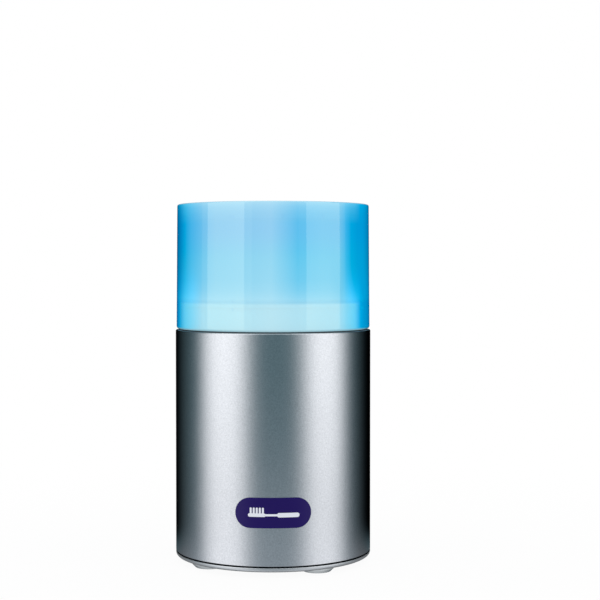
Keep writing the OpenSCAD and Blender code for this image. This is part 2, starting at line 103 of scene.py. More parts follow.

# ---------- Looks of the cap ----------

# Painted light and shade of its wall, each tone at a sideways slope of its surface in the camera's view: -1
# at the left outline, 1 at the right one. The outlines have deep painted shade; the darker stop at 0.28 is
# a painted shadow of a brush handle behind the wall.
CAP_PAINTED_TONES = ((-1.0, (0, 134, 196)), (-0.93, (0, 157, 217)), (-0.88, (8, 180, 231)),
             (-0.81, (78, 190, 236)), (-0.55, (138, 203, 236)), (0.0, (156, 211, 240)),
             (0.28, (94, 195, 236)), (0.50, (110, 199, 236)), (0.68, (106, 197, 235)),
             (0.745, (54, 186, 234)), (0.79, (0, 176, 226)), (0.86, (0, 168, 224)),
             (0.92, (0, 172, 231)), (1.0, (4, 164, 226)))
# Painted light of its foot, at the same slopes.
CAP_FOOT_PAINTED_TONES = ((-1.0, (0, 176, 232)), (-0.94, (40, 214, 252)), (-0.88, (124, 232, 254)),
                  (-0.70, (190, 234, 246)), (0.0, (204, 237, 246)), (0.65, (184, 230, 244)),
                  (0.83, (126, 228, 252)), (0.89, (0, 204, 248)), (1.0, (0, 178, 234)))
# Painted light on its deck, from the axis outwards as shares of the cap's radius.
DECK_PAINTED_LIGHT = ((0.0, (206, 238, 248)), (0.34, (158, 216, 244)), (0.62, (112, 198, 240)),
              (0.86, (64, 182, 236)), (0.95, (20, 160, 222)))
# How far the wall's painted light and shade have gone over to the painted light of its foot, at each height
# in metres.
CAP_FOOT_LIGHT_SHARE = ((0.1160, 1.0), (0.1170, 0.60), (0.1192, 0.40), (0.1222, 0.24), (0.1264, 0.12),
                (0.1390, 0.0), (0.1510, 0.0), (0.1550, 0.12), (0.1580, 0.28), (0.1597, 0.5))
FOOT_LIGHT_UP = (0.1, 0.2)          # heights at the two ends of the ramp that holds them

# Where the wall's painted light and shade change: across by the sideways slope of its surface, up by height
# in metres.
STRIP_ACROSS = (0.62, 0.80)       # the strip of painted shade at the right
STRIP_UP = (0.137, 0.1165)        # it gives way between these heights
STRIP_SHIFT = 0.09                # by this much just above the foot
RIGHT_ACROSS = (0.55, 0.80)       # the right side
RIGHT_UP = (0.150, 0.140)         # goes over to the painted light of the foot later below these heights
OUTLINE_ACROSS = (0.87, 0.94)     # the outlines keep most of their painted shade
STEEP_ACROSS = (0.68, 0.80)       # the sides
SIDES_UP = (0.135, 0.113)         # have painted light, brighter towards the foot
RIGHT_EDGE_ACROSS = (0.87, 0.92)  # but less so at the right edge
# below these heights painted light makes the wall a little greener
GREENER_UP = (0.149, 0.134)
CLEARER_UP = (0.119, 0.1165)      # the foot is more see-through than the rest

CAP_PAINTED_GLOW = 1.17                   # painted glow, a little stronger than the cap's tone, standing in for light from the lamp inside
CAP_LIT_SHARE = 0.3               # share of the room's light in its look
CAP_CLEAR = (0.12, 0.34)          # how much shows through its wall, and through its foot
EDGE_SHADE = 0.70                 # painted shade of the edge that faces the sleeve
WALL_POLISH = 0.12                # the most that the front of an upright wall reflects


# ---------- Node helpers ----------

def add_node(tree, kind, inputs=None, **settings):
    """A shader node of that kind; an input is a value, or the socket that feeds it."""
    made = tree.nodes.new("ShaderNode" + kind)
    for key, value in settings.items():
        setattr(made, key, value)
    for key, value in (inputs or {}).items():
        if isinstance(value, bpy.types.NodeSocket):
            tree.links.new(value, made.inputs[key])
        else:
            made.inputs[key].default_value = value
    return made


def math_node(tree, operation, *values):
    return add_node(tree, "Math", dict(enumerate(values)), operation=operation).outputs[0]


def product(tree, first, *others):
    for other in others:
        first = math_node(tree, "MULTIPLY", first, other)
    return first


def rgba(colour):
    return (*colour, 1.0)


def srgb(red, green, blue):
    """Display values from 0 to 255 as a linear colour."""
    def linear(value):
        value /= 255
        return value / 12.92 if value <= 0.04045 else ((value + 0.055) / 1.055) ** 2.4
    return (linear(red), linear(green), linear(blue))


def tones(stops):
    """Ramp stops from tones placed by the sideways slope of the surface, -1 at the left outline to 1."""
    return [((slope + 1) / 2, srgb(*tone)) for slope, tone in stops]


def vector_node(tree, operation, *vectors, output="Value"):
    return add_node(tree, "VectorMath", dict(enumerate(vectors)), operation=operation).outputs[output]


def part_of(tree, vector, axis):
    return add_node(tree, "SeparateXYZ", {"Vector": vector}).outputs[axis]


def between(tree, value, span, results):
    """Goes from one result to the other as the value goes across its span, and stays at either end."""
    inputs = {"Value": value, "From Min": span[0], "From Max": span[1],
              "To Min": results[0], "To Max": results[1]}
    return add_node(tree, "MapRange", inputs).outputs[0]


def step(tree, value, low, high):
    """0 below low, 1 above high, smooth between."""
    inputs = {"Value": value, "From Min": low, "From Max": high}
    return add_node(tree, "MapRange", inputs, interpolation_type="SMOOTHSTEP").outputs[0]


def ramp(tree, value, stops):
    made = add_node(tree, "ValToRGB", {"Fac": value})
    elements = made.color_ramp.elements
    while len(elements) > 1:
        elements.remove(elements[-1])
    for index, (place, colour) in enumerate(stops):
        element = elements[0] if index == 0 else elements.new(place)
        element.position = place
        element.color = rgba(colour)
    return made.outputs["Color"]


def mix_colour(tree, factor, first, second, blend="MIX"):
    made = add_node(tree, "Mix", data_type="RGBA", blend_type=blend)
    for name, value in (("Factor_Float", factor), ("A_Color", first), ("B_Color", second)):
        socket = next(s for s in made.inputs if s.identifier == name)
        if isinstance(value, bpy.types.NodeSocket):
            tree.links.new(value, socket)
        else:
            socket.default_value = value if name == "Factor_Float" else rgba(value)
    return next(s for s in made.outputs if s.identifier == "Result_Color")


def new_material(name):
    material = bpy.data.materials.new(name)
    material.use_nodes = True
    material.node_tree.nodes.clear()
    return material, material.node_tree


def finish_material(material, shader):
    add_node(material.node_tree, "OutputMaterial", {"Surface": shader.outputs[0]})
    return material


def object_place(tree):
    return add_node(tree, "TexCoord").outputs["Object"]


def noise(tree, scale, detail, vector=None):
    inputs = {"Vector": vector or object_place(tree), "Scale": scale, "Detail": detail, "Roughness": 0.55}
    return add_node(tree, "TexNoise", inputs).outputs["Fac"]


def bump(tree, height, strength, distance):
    inputs = {"Height": height, "Strength": strength, "Distance": distance}
    return add_node(tree, "Bump", inputs).outputs["Normal"]


def mix_shader(tree, share, first, second):
    """One shader mixed into another by a share."""
    return add_node(tree, "MixShader", {0: share, 1: first.outputs[0], 2: second.outputs[0]})


# ---------- Mesh helpers ----------

ARC_STEP = 12                     # degrees between the points of a rounded corner
LEVEL = 0.999999                  # faces whose normals point up or down by this much count as level


def fillet(points):
    """Rounds the corners of a profile of (radius, height) or (radius, height, corner radius) points."""
    result = []
    count = len(points)
    for index, point in enumerate(points):
        corner = Vector(point[:2])
        if len(point) < 3:
            result.append(tuple(corner))
            continue
        before = (Vector(points[index - 1][:2]) - corner).normalized()
        after = (Vector(points[(index + 1) % count][:2]) - corner).normalized()
        half = before.angle(after) / 2
        reach = point[2] / math.tan(half)
        centre = corner + (before + after).normalized() * point[2] / math.sin(half)
        start, end = corner + before * reach - centre, corner + after * reach - centre
        turn = end.angle_signed(start)
        steps = max(3, round(abs(math.degrees(turn)) / ARC_STEP))
        for k in range(steps + 1):
            angle = turn * k / steps
            arm = Vector((start.x * math.cos(angle) - start.y * math.sin(angle),
                          start.x * math.sin(angle) + start.y * math.cos(angle)))
            result.append(tuple(centre + arm))
    return result


def add_object(name, data):
    made = bpy.data.objects.new(name, data)
    bpy.context.scene.collection.objects.link(made)
    return made


def applied_mesh(piece):
    """A new mesh of an object with its modifiers, or of a curve."""
    return bpy.data.meshes.new_from_object(piece.evaluated_get(bpy.context.evaluated_depsgraph_get()))


def tidy(piece, sharp):
    """Welds, turns the faces outwards and shades smooth, but for sharp edges and level faces."""
    shell = bmesh.new()
    shell.from_mesh(piece.data)
    bmesh.ops.remove_doubles(shell, verts=shell.verts, dist=1e-7)
    bmesh.ops.recalc_face_normals(shell, faces=shell.faces)
    shell.to_mesh(piece.data)
    shell.free()
    piece.data.set_sharp_from_angle(angle=math.radians(sharp))
    for face in piece.data.polygons:
        face.use_smooth = abs(face.normal.z) < LEVEL
    return piece


def mesh_object(name, vertices, faces, sharp=35):
    """A smooth-shaded object from points in millimetres, with edges sharper than an angle kept crisp."""
    mesh = bpy.data.meshes.new(name)
    mesh.from_pydata([Vector(v) * MM for v in vertices], [], faces)
    return tidy(add_object(name, mesh), sharp)


def circle(radius, count, centre=(0, 0)):
    turns = [2 * math.pi * k / count for k in range(count)]
    return [(centre[0] + radius * math.cos(a), centre[1] + radius * math.sin(a)) for a in turns]


def turned(profile, segments, closed=False):
    """Vertices and faces of a profile of (radius, height) turned round the Z axis."""
    vertices, faces = [], []
    for radius, height in profile:
        vertices += [(x, y, height) for x, y in circle(radius, segments)]
    rows = len(profile)
    for row in range(rows if closed else rows - 1):
        low, high = row * segments, (row + 1) % rows * segments
        for k in range(segments):
            n = (k + 1) % segments
            faces.append((low + k, low + n, high + n, high + k))
    return vertices, faces


def lathe(name, profile, segments, closed=True):
    """A turned solid. Its profile is closed, or starts and ends on the axis."""
    return mesh_object(name, *turned(profile, segments, closed))


def place(piece, matrix):
    piece.data.transform(matrix)
    piece.data.update()
    return piece


def polar(radius, degrees, height=0.0):
    """Where something lies at a radius and polar angle, in millimetres, turned to face outwards."""
    turn = Matrix.Rotation(math.radians(degrees), 4, "Z")
    return turn @ Matrix.Translation((radius * MM, 0, height * MM))


TO_BACK = Matrix.Rotation(math.radians(-90), 4, "X")      # +Z becomes +Y, the back of the unit


def box_piece(name, low, high):
    """A cuboid between two corners, in millimetres."""
    vertices = [(x, y, z) for x in (low[0], high[0]) for y in (low[1], high[1]) for z in (low[2], high[2])]
    faces = [(0, 1, 3, 2), (4, 6, 7, 5), (0, 4, 5, 1), (2, 3, 7, 6), (0, 2, 6, 4), (1, 5, 7, 3)]
    return mesh_object(name, vertices, faces)


def combine(piece, tools, operation="DIFFERENCE", sharp=35):
    """Cuts the tools from the piece, or adds them to it, and removes them."""
    for tool in tools:
        modifier = piece.modifiers.new("combine", "BOOLEAN")
        modifier.operation = operation
        modifier.solver = "EXACT"
        modifier.object = tool
    mesh = applied_mesh(piece)
    piece.modifiers.clear()
    piece.data = mesh
    for tool in tools:
        bpy.data.objects.remove(tool)
    return tidy(piece, sharp)


def join(name, pieces):
    """One object from several, whose meshes stay separate shells."""
    shell = bmesh.new()
    for piece in pieces:
        shell.from_mesh(piece.data)
        bpy.data.objects.remove(piece)
    mesh = bpy.data.meshes.new(name)
    shell.to_mesh(mesh)
    shell.free()
    return tidy(add_object(name, mesh), 35)


def dress(piece, material, body, slot, *stands_for):
    """Gives a piece its finish, its body and the nodes it stands for. The slot is not used."""
    piece.data.materials.clear()
    piece.data.materials.append(material)
    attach(piece, body)
    if stands_for:
        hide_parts(*stands_for)
    return piece


# ---------- Materials ----------

def satin_aluminium():
    """Bead-blasted, clear anodised aluminium: a fine grain breaks up soft, tall reflections."""
    material, tree = new_material("satin_aluminium")
    grain = noise(tree, 1900, 2)
    cloud = noise(tree, 60, 4)
    roughness = between(tree, cloud, (0, 1), (0.33, 0.37))
    colour = mix_colour(tree, grain, (0.34, 0.35, 0.36), (0.62, 0.635, 0.65))
    shader = add_node(tree, "BsdfAnisotropic", {
        "Color": colour, "Roughness": roughness, "Normal": bump(tree, grain, 0.4, 0.00009),
    }, distribution="BECKMANN")
    return finish_material(material, shader)


def moulded_plastic(name, colour, roughness, grain, depth=0.00004, coat=0.0, gloss=0.5):
    """Moulded plastic with the faint texture of its tool and slight changes of tone."""
    material, tree = new_material(name)
    texture = noise(tree, grain, 3)
    cloud = noise(tree, 45, 4)
    darker = tuple(channel * 0.93 for channel in colour)
    tone = mix_colour(tree, cloud, darker, colour)
    sheen = between(tree, texture, (0, 1), (roughness - 0.05, roughness + 0.06))
    shader = add_node(tree, "BsdfPrincipled", {
        "Base Color": tone, "Roughness": sheen, "Coat Weight": coat, "Specular IOR Level": gloss,
        "Normal": bump(tree, texture, 0.3, depth),
    })
    return finish_material(material, shader)


def silver_paint(name, seam_shade_above=None):
    """Satin silver paint, with near-black painted shade above a level, in the seam where the part hides in
    the sleeve.
    """
    material, tree = new_material(name)
    flakes = noise(tree, 3200, 2)
    cloud = noise(tree, 50, 4)
    tone = mix_colour(tree, flakes, (0.42, 0.44, 0.455), (0.50, 0.52, 0.53))
    roughness = between(tree, cloud, (0, 1), (0.36, 0.41))
    normal = bump(tree, flakes, 0.25, 0.00005)
    metal = add_node(tree, "BsdfAnisotropic", {"Color": tone, "Roughness": roughness, "Normal": normal},
                     distribution="BECKMANN")
    binder = add_node(tree, "BsdfDiffuse", {"Color": tone})
    paint_layer = mix_shader(tree, 0.25, metal, binder)
    if seam_shade_above is None:
        return finish_material(material, paint_layer)
    height = part_of(tree, object_place(tree), "Z")
    # near-black painted shade in the seam
    seam_shade = add_node(tree, "BsdfDiffuse", {"Color": (0.004, 0.007, 0.011, 1)})
    seam_shade_share = step(tree, height, seam_shade_above - 0.0001, seam_shade_above - 0.00002)
    both = mix_shader(tree, seam_shade_share, paint_layer, seam_shade)
    return finish_material(material, both)


def soft_rubber():
    """Clear, slightly cloudy silicone, with painted light and shade: bright where it faces the eye, dark
    towards its outline.
    """
    material, tree = new_material("soft_foot")
    facing = add_node(tree, "LayerWeight", {"Blend": 0.35}).outputs["Facing"]
    cloud = noise(tree, 400, 3)
    painted_lit_tone = mix_colour(tree, cloud, srgb(178, 184, 187), srgb(203, 207, 210))
    # painted light and shade by facing: lit tone towards the eye, dark teal towards the outline
    tone = mix_colour(tree, step(tree, facing, 0.2, 0.85), painted_lit_tone, srgb(46, 66, 74))
    shader = add_node(tree, "BsdfPrincipled", {
        "Base Color": tone, "Roughness": 0.18, "Coat Weight": 0.5,
        "Normal": bump(tree, cloud, 0.2, 0.00005),
    })
    return finish_material(material, shader)


def worked_metal(name, colour, roughness):
    """Bright metal with fine level marks and patches of tarnish."""
    material, tree = new_material(name)
    stretched = add_node(tree, "Mapping", {"Vector": object_place(tree), "Scale": (1, 1, 12)}).outputs[0]
    marks = noise(tree, 900, 3, stretched)
    patches = noise(tree, 120, 4)
    darker = tuple(channel * 0.78 for channel in colour)
    tone = mix_colour(tree, patches, darker, colour)
    sheen = between(tree, marks, (0, 1), (roughness - 0.08, roughness + 0.12))
    shader = add_node(tree, "BsdfPrincipled", {
        "Base Color": tone, "Metallic": 1.0, "Roughness": sheen,
        "Normal": bump(tree, marks, 0.2, 0.00003),
    })
    return finish_material(material, shader)


def clear_plastic(name, tint, density):
    """Thin clear plastic or glass: mostly seen through, with reflections and a faint haze."""
    material, tree = new_material(name)
    haze = noise(tree, 70, 4)
    veil = between(tree, haze, (0, 1), (density * 0.8, density * 1.3))
    through = add_node(tree, "BsdfTransparent", {"Color": rgba(tint)})
    milky = add_node(tree, "BsdfDiffuse", {"Color": (0.95, 0.97, 1.0, 1.0)})
    wall = mix_shader(tree, veil, through, milky)
    gloss = add_node(tree, "BsdfGlossy", {"Color": (1, 1, 1, 1), "Roughness": 0.03})
    fresnel = add_node(tree, "Fresnel", {"IOR": 1.49})
    share = math_node(tree, "MINIMUM", fresnel.outputs[0], 0.2)
    both = mix_shader(tree, share, wall, gloss)
    return finish_material(material, both)


def shaded(tree, colour, share):
    """A colour brought down to a share of its strength."""
    grey = add_node(tree, "CombineColor", {"Red": share, "Green": share, "Blue": share}).outputs[0]
    return mix_colour(tree, 1.0, colour, grey, "MULTIPLY")


def on_deck(tree, facing_up, height):
    """1 on the upward faces inside the cap's rim, 0 on its walls."""
    inside = step(tree, height, (CAP_TOP - 0.6) * MM, (CAP_TOP - 1.6) * MM)
    return product(tree, step(tree, facing_up, 0.35, 0.85), inside)


def deck_tone(tree):
    """Painted light, lightest in the middle of the deck, standing in for the lamp below. Painted shade in
    corners and hollows.
    """
    level = vector_node(tree, "MULTIPLY", object_place(tree), (1, 1, 0), output="Vector")
    from_axis = vector_node(tree, "LENGTH", level)
    share = math_node(tree, "DIVIDE", from_axis, CAP_R * MM)
    tone = ramp(tree, share, [(place, srgb(*tone)) for place, tone in DECK_PAINTED_LIGHT])
    open_share = add_node(tree, "AmbientOcclusion", {"Distance": 0.0035}, samples=8).outputs["AO"]
    return shaded(tree, tone, between(tree, open_share, (0.45, 1.0), (0.62, 1.0)))


def strip_shift(tree, across, height):
    """How far the strip of painted shade at the right gives way. It is more just above the foot."""
    lowness = math_node(tree, "POWER", between(tree, height, STRIP_UP, (0, 1)), 2.0)
    return product(tree, lowness, step(tree, across, *STRIP_ACROSS), STRIP_SHIFT / 2)


def cap_foot_light(tree, across, height):
    """Share of the foot's painted light at a height. It is held back low at the right, and at both
    outlines.
    """
    low, high = FOOT_LIGHT_UP
    stops = [((z - low) / (high - low), (share, share, share)) for z, share in CAP_FOOT_LIGHT_SHARE]
    foot_light_share = ramp(tree, between(tree, height, FOOT_LIGHT_UP, (0, 1)), stops)
    low_right = product(tree, step(tree, across, *RIGHT_ACROSS), step(tree, height, *RIGHT_UP))
    foot_light_share = math_node(tree, "POWER", foot_light_share, between(tree, low_right, (0, 1), (1.0, 2.2)))
    off_middle = math_node(tree, "ABSOLUTE", math_node(tree, "ADD", across, 0.035))
    outline = step(tree, off_middle, *OUTLINE_ACROSS)
    return math_node(tree, "MINIMUM", foot_light_share, between(tree, outline, (0, 1), (1.0, 0.4)))


def cap_painted_brightening(tree, across, height, steep):
    """Painted light of the lamp inside: the lower wall a little greener, and its sides brighter towards the
    foot.
    """
    painted_green = mix_colour(tree, step(tree, height, *GREENER_UP), (1, 1, 1), (1.0, 1.08, 1.0))
    short_of_edge = between(tree, step(tree, across, *RIGHT_EDGE_ACROSS), (0, 1), (1.0, 0.4))
    side_share = product(tree, step(tree, height, *SIDES_UP), steep, short_of_edge)
    return mix_colour(tree, side_share, painted_green, (1.0, 1.30, 1.24))


def cap_wall_tone(tree, across, height, steep):
    """Painted light and shade of the cap's wall, by the sideways slope of its surface in the camera's view.
    It goes over to the painted light of the foot.
    """
    place = between(tree, across, (-1, 1), (0, 1))
    shifted = math_node(tree, "SUBTRACT", place, strip_shift(tree, across, height))
    slope_light_and_shade = ramp(tree, shifted, tones(CAP_PAINTED_TONES))
    lit = mix_colour(tree, 1.0, slope_light_and_shade, cap_painted_brightening(tree, across, height, steep), "MULTIPLY")
    lit_foot = ramp(tree, place, tones(CAP_FOOT_PAINTED_TONES))
    return mix_colour(tree, cap_foot_light(tree, across, height), lit, lit_foot)


def cap_tone(tree, across, height, steep, facing_up):
    """Tone of the cap: its wall, its deck, and painted shade on the edge that faces the sleeve."""
    wall = cap_wall_tone(tree, across, height, steep)
    tone = mix_colour(tree, on_deck(tree, facing_up, height), wall, deck_tone(tree))
    above_edge = step(tree, height, (CAP_BOTTOM + 1.5) * MM, (CAP_BOTTOM + 3) * MM)
    under_share = between(tree, facing_up, (-0.85, -0.1), (EDGE_SHADE, 1.0))
    return shaded(tree, tone, math_node(tree, "MAXIMUM", under_share, above_edge))


def translucent_cap():
    """Polished, milky blue plastic, with a painted glowing tone and deep painted shade towards its outline.
    It shows faintly what lies behind.
    """
    material, tree = new_material("translucent_cap")
    geometry = add_node(tree, "NewGeometry")
    normal = geometry.outputs["Normal"]
    in_view = add_node(tree, "VectorTransform", {"Vector": normal}, convert_from="WORLD",
                       convert_to="CAMERA", vector_type="NORMAL").outputs[0]
    across = part_of(tree, in_view, "X")
    height = part_of(tree, object_place(tree), "Z")
    facing_up = part_of(tree, normal, "Z")
    steep = step(tree, math_node(tree, "ABSOLUTE", across), *STEEP_ACROSS)
    tone = cap_tone(tree, across, height, steep, facing_up)
    # Painted glow: the cap emits its painted tone, though it is no lamp.
    painted_glow = add_node(tree, "Emission", {"Color": tone, "Strength": CAP_PAINTED_GLOW})
    milky = add_node(tree, "BsdfDiffuse", {"Color": tone})
    lit_through = add_node(tree, "BsdfTranslucent", {"Color": tone})
    body = mix_shader(tree, CAP_LIT_SHARE, painted_glow, mix_shader(tree, 0.5, milky, lit_through))
    clear = add_node(tree, "BsdfTransparent", {"Color": tone})
    clear_share = between(tree, step(tree, height, *CLEARER_UP), (0, 1), CAP_CLEAR)
    wall = mix_shader(tree, clear_share, body, clear)
    ripple = bump(tree, noise(tree, 35, 2), 0.05, 0.0003)
    tint = mix_colour(tree, steep, (1.0, 0.94, 0.55), tone)
    gloss = add_node(tree, "BsdfGlossy", {"Color": tint, "Roughness": 0.03, "Normal": ripple})
    upright = step(tree, math_node(tree, "ABSOLUTE", facing_up), 0.45, 0.25)
    on_wall = product(tree, upright, math_node(tree, "SUBTRACT", 1.0, steep))
    fresnel = add_node(tree, "Fresnel", {"IOR": 1.62}).outputs[0]
    polish = math_node(tree, "MINIMUM", fresnel, between(tree, on_wall, (0, 1), (1.0, WALL_POLISH)))
    outside = math_node(tree, "SUBTRACT", 1.0, geometry.outputs["Backfacing"])
    both = mix_shader(tree, product(tree, polish, outside), wall, gloss)
    material.cycles.emission_sampling = "NONE"
    return finish_material(material, both)


# ---------- Casing ----------

def round_bar(name, radius, low, high, segments=72):
    """A plain cylinder along Z."""
    return lathe(name, [(0, low), (radius, low), (radius, high), (0, high)], segments, closed=False)


def sleeve_shell():
    inner = BODY_R - SLEEVE_T
    shell = lathe("sleeve_shell", fillet([
        (inner, SLEEVE_BOTTOM), (BODY_R, SLEEVE_BOTTOM, 0.1), (BODY_R, SLEEVE_TOP, 0.5),
        (BODY_R - LIP_W, SLEEVE_TOP, 0.2), (BODY_R - LIP_W, SLEEVE_TOP - LIP_H),
        (inner, SLEEVE_TOP - LIP_H),
    ]), 256)
    button_hole = place(round_bar("cutter", BEZEL_R + 0.1, 36, 48, 96),
                        Matrix.Translation((0, 0, CONTROL_Z * MM)) @ TO_BACK)
    sideways = Matrix.Rotation(math.radians(90), 4, "Y")
    jack_hole = place(round_bar("cutter", JACK_HOLE_R, -6, 6), polar(BODY_R, JACK_TURN, JACK_Z) @ sideways)
    combine(shell, [button_hole, jack_hole])
    bevel = shell.modifiers.new("edge_break", "BEVEL")
    bevel.width = 0.12 * MM
    bevel.segments = 2
    bevel.angle_limit = math.radians(60)
    return shell


def vent_slot(turn):
    """A cutter for one of the slots that radiate under the lamp."""
    near, far, half = 7.9, 14.1, 0.9
    ends = [place(round_bar("cutter", half, 0, 8, 24), polar(radius, 0)) for radius in (near, far)]
    slot = join("cutter", [box_piece("cutter", (near, -half, 0), (far, half, 8))] + ends)
    return place(slot, Matrix.Rotation(math.radians(turn), 4, "Z"))


def cover_shell():
    spigot = BODY_R - SLEEVE_T - 0.3
    shell = lathe("cover_shell", fillet([
        (0, COVER_BOTTOM), (BODY_R - 2.2, COVER_BOTTOM), (BODY_R, COVER_BOTTOM, 1.7),
        (BODY_R, COVER_TOP, 0.35), (spigot, COVER_TOP), (spigot, SPIGOT_TOP, 0.3),
        (spigot - 1.2, SPIGOT_TOP, 0.3), (spigot - 1.2, COVER_TOP), (0, COVER_TOP),
    ]), 256, closed=False)
    screws = [polar(SCREW_RING_R, 45 + 90 * k) for k in range(4)]
    bosses = [place(round_bar("boss", 4.4, COVER_TOP - 1, COVER_BOSS_TOP), where) for where in screws]
    combine(shell, bosses, "UNION")
    cutters = [place(round_bar("cutter", FOOT_R + 0.2, 0, FOOT_TOP, 96), where) for where in foot_places()]
    for where in screws:
        head = round_bar("cutter", 3.3, 0, 5.3)
        shank = round_bar("cutter", 1.7, 0, 20)
        cutters += [place(head, where), place(shank, where)]
    cutters += [vent_slot(30 * k) for k in range(12)]
    return combine(shell, cutters)


def foot_places():
    return [polar(FOOT_RING_R, FOOT_TURN + 90 * k) for k in range(4)]


def feet():
    """Soft domed feet with two shallow grip grooves."""
    profile = fillet([
        (0, 0), (2.4, 0, 0.1), (2.6, 0.25), (2.9, 0.25), (3.1, 0, 0.1),
        (4.1, 0, 0.1), (4.3, 0.25), (4.6, 0.25), (4.8, 0, 0.1),
        (6.0, 0, 0.7), (7.4, 1.4, 1.6), (FOOT_R, COVER_BOTTOM), (FOOT_R, FOOT_TOP), (0, FOOT_TOP),
    ])
    return join("feet", [place(lathe("foot", profile, 72, closed=False), where) for where in foot_places()])


def glide():
    low, high = height_of("glide_ring", 0), height_of("glide_ring", 1)
    return lathe("glide", fillet([(39.95, low), (42.3, low), (42.3, high, 0.25), (39.95, high, 0.25)]), 192)


# ---------- Cap ----------

OPENING_CENTRES = [(OPENING_RING_R * math.cos(math.radians(turn)),
                    OPENING_RING_R * math.sin(math.radians(turn))) for turn in OPENING_TURNS]


def nearest_opening(x, y):
    """Distance to the centre of the nearest brush opening."""
    return min(math.hypot(x - cx, y - cy) for cx, cy in OPENING_CENTRES)


def smooth(value, low, high):
    t = min(1.0, max(0.0, (value - low) / (high - low)))
    return t * t * (3 - 2 * t)


def deck_height(x, y):
    """Top of the deck: a low crown, raised lips round the openings and a fillet up to the wall."""
    radius = math.hypot(x, y)
    crown = 0.6 * (1 + math.cos(math.pi * min(radius / 16, 1.0)))
    start = CAP_IN_TOP_R - DECK_FILLET
    rise = DECK_FILLET - math.sqrt(DECK_FILLET ** 2 - max(0.0, radius - start) ** 2)
    away = nearest_opening(x, y) - OPENING_R
    edge = 0.35
    inner = edge - math.sqrt(max(0.0, edge ** 2 - max(0.0, edge - away) ** 2))
    lip = (0.8 - inner) * (1 - smooth(away, 0.9, 1.7))
    return DECK_TOP + max(crown, rise, lip)


def pierced_disc(rim, opening_r, level, rim_count, ring_steps, wall_steps):
    """A triangulated disc with the brush openings left out. level(x, y) gives its height."""
    points, edges = [], []
    loops = [circle(rim, rim_count)]
    loops += [circle(opening_r, OPENING_SEGMENTS, c) for c in OPENING_CENTRES]
    for loop in loops:
        first = len(points)
        points += loop
        edges += [(first + k, first + (k + 1) % len(loop)) for k in range(len(loop))]
    for step_out in ring_steps:
        for c in OPENING_CENTRES:
            ring = circle(opening_r + step_out, OPENING_SEGMENTS, c)
            points += [p for p in ring if math.hypot(*p) < rim - 0.25]
    clear = opening_r + max(ring_steps, default=0) + 0.6
    for inset in wall_steps:
        ring = circle(rim - inset, rim_count)
        points += [p for p in ring if nearest_opening(*p) > clear]
    spacing = 2.2
    for index in range(int((rim - max(wall_steps, default=0) - 1) / spacing)):
        radius = spacing * (index + 0.5)
        ring = circle(radius, max(6, round(2 * math.pi * radius / spacing)))
        points += [p for p in ring if nearest_opening(*p) > clear]
    found = delaunay_2d_cdt([Vector(p) for p in points], edges, [], 0, 1e-6)
    flat, triangles = found[0], found[2]
    kept = []
    for triangle in triangles:
        middle = sum((flat[k] for k in triangle), Vector((0, 0))) / 3
        if nearest_opening(*middle) > opening_r - 0.02 and middle.length < rim:
            kept.append(tuple(triangle))
    return [(p.x, p.y, level(p.x, p.y)) for p in flat], kept


def bend(centre, radius, first, last, steps=8):
    """Points on an arc, for the rounded edges of a profile."""
    angles = [math.radians(first + (last - first) * k / steps) for k in range(steps + 1)]
    return [(centre[0] + radius * math.cos(a), centre[1] + radius * math.sin(a)) for a in angles]


def clip(middle, low):
    """A short curved block inside the cap's wall that holds the guide plate."""
    inner, outer, high = 40.3, 42.2, low + CLIP_H
    spread = 12
    steps = 8
    vertices = []
    for k in range(steps + 1):
        a = math.radians(middle + spread * (k / steps - 0.5))
        for radius, height in ((inner, low), (outer, low), (outer, high), (inner, high)):
            vertices.append((radius * math.cos(a), radius * math.sin(a), height))
    faces = [(0, 1, 2, 3), tuple(4 * steps + k for k in (3, 2, 1, 0))]
    for k in range(steps):
        for side in range(4):
            a, b = 4 * k + side, 4 * k + (side + 1) % 4
            faces.append((a, b, b + 4, a + 4))
    return mesh_object("clip", vertices, faces)


def opening_wall(centre, under, chamfer):
    """Vertices and faces of the wall of one brush opening, chamfered below."""
    count = OPENING_SEGMENTS
    points = [(x, y, deck_height(x, y)) for x, y in circle(OPENING_R, count, centre)]
    points += [(x, y, under + chamfer) for x, y in circle(OPENING_R, count, centre)]
    points += [(x, y, under) for x, y in circle(OPENING_R + chamfer, count, centre)]
    faces = []
    for row in (0, count):
        for k in range(count):
            here, beside = row + k, row + (k + 1) % count
            faces.append((here, beside, beside + count, here + count))
    return points, faces


